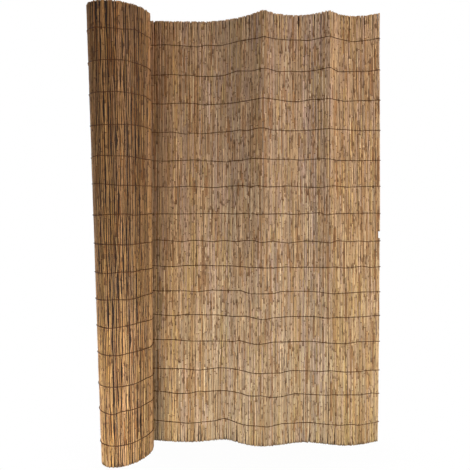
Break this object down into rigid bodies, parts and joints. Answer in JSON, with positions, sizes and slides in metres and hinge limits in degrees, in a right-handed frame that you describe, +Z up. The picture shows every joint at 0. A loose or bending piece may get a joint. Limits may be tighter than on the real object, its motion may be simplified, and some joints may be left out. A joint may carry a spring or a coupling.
{
  "type": "straw screening mat",
  "caption": "Standing straw screening mat, part unrolled from its roll: upright dry stalks bound side by side by rows of thin wire, with a wavy free panel.",
  "frame": {"origin": "on the floor, under the middle of the mat's box", "axes": "+X along the unrolled stretch away from the roll, +Y away from the viewer to the mat's back, +Z up"},
  "size_m": [1.3377, 0.2569, 2],
  "materials": {
    "reed": "dry, matt",
    "wire": "dull dark brown"
  },
  "bodies": {
    "root": {"reed_mat": "reed", "face_wire_01": "wire", "face_wire_02": "wire", "face_wire_03": "wire", "face_wire_04": "wire", "face_wire_05": "wire", "face_wire_06": "wire", "face_wire_07": "wire", "face_wire_08": "wire", "face_wire_09": "wire", "face_wire_10": "wire", "face_wire_11": "wire", "face_wire_12": "wire", "face_wire_13": "wire", "face_wire_14": "wire", "face_wire_15": "wire", "back_wire_01": "wire", "back_wire_02": "wire", "back_wire_03": "wire", "back_wire_04": "wire", "back_wire_05": "wire", "back_wire_06": "wire", "back_wire_07": "wire", "back_wire_08": "wire", "back_wire_09": "wire", "back_wire_10": "wire", "back_wire_11": "wire", "back_wire_12": "wire", "back_wire_13": "wire", "back_wire_14": "wire", "back_wire_15": "wire"}
  },
  "joints": []
}
